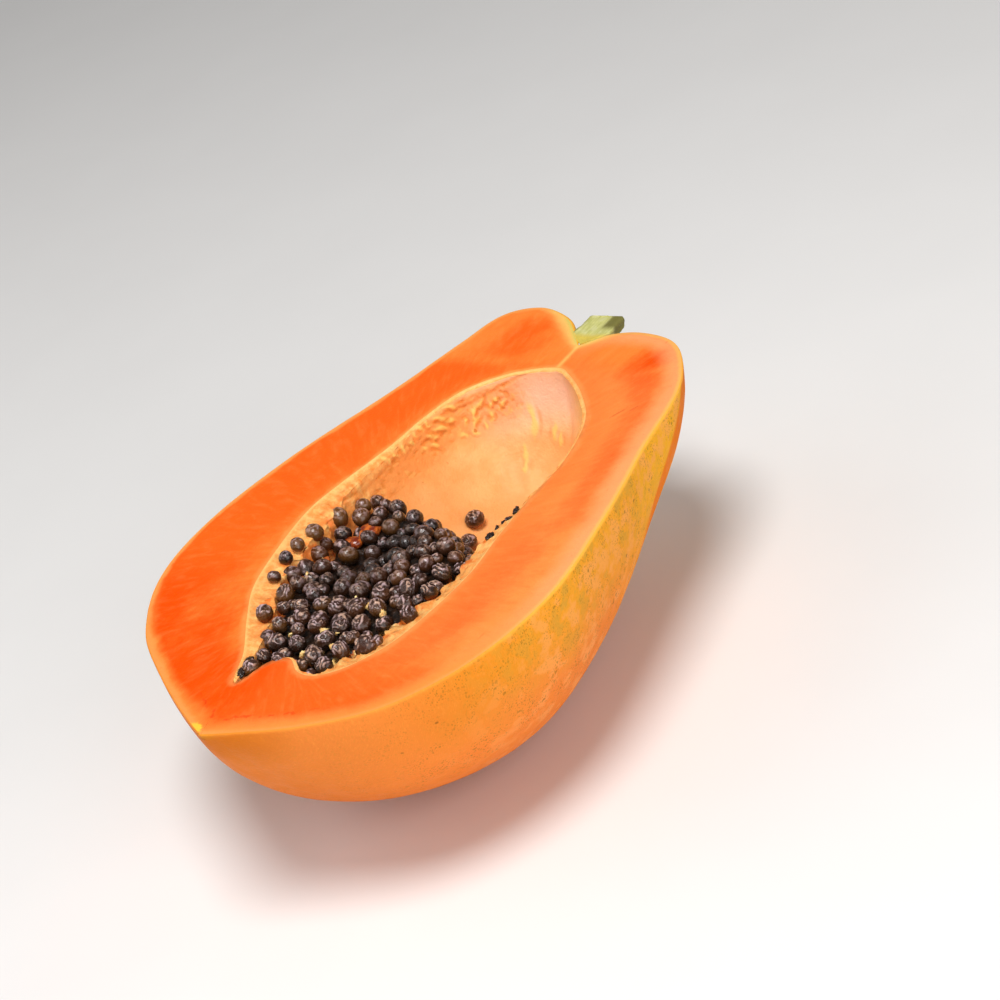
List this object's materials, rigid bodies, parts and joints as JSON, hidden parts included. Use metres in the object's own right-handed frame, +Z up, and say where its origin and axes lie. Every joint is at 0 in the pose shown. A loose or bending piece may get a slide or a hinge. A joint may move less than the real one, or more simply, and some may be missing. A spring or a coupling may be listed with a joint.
{
  "type": "papaya half",
  "caption": "Ripe papaya cut in half lengthwise, lying on its belly, with the stem's stub in its pit and a heap of dark seeds in its hollow.",
  "frame": {"origin": "middle of the small flat resting patch under the belly", "axes": "+X along the fruit towards its stem, +Y across the cut face to the fuller side, +Z up out of the cut face"},
  "size_m": [0.2386, 0.1598, 0.0764],
  "materials": {
    "fruit": "moist orange flesh inside a smooth yellow-orange skin with olive streaks",
    "stem": "dry pale green fibrous stub, darker at its edges",
    "seeds": "wet near-black seeds in clear brown skins"
  },
  "bodies": {
    "root": {"fruit": "fruit", "stem": "stem", "seeds": "seeds"}
  },
  "joints": []
}
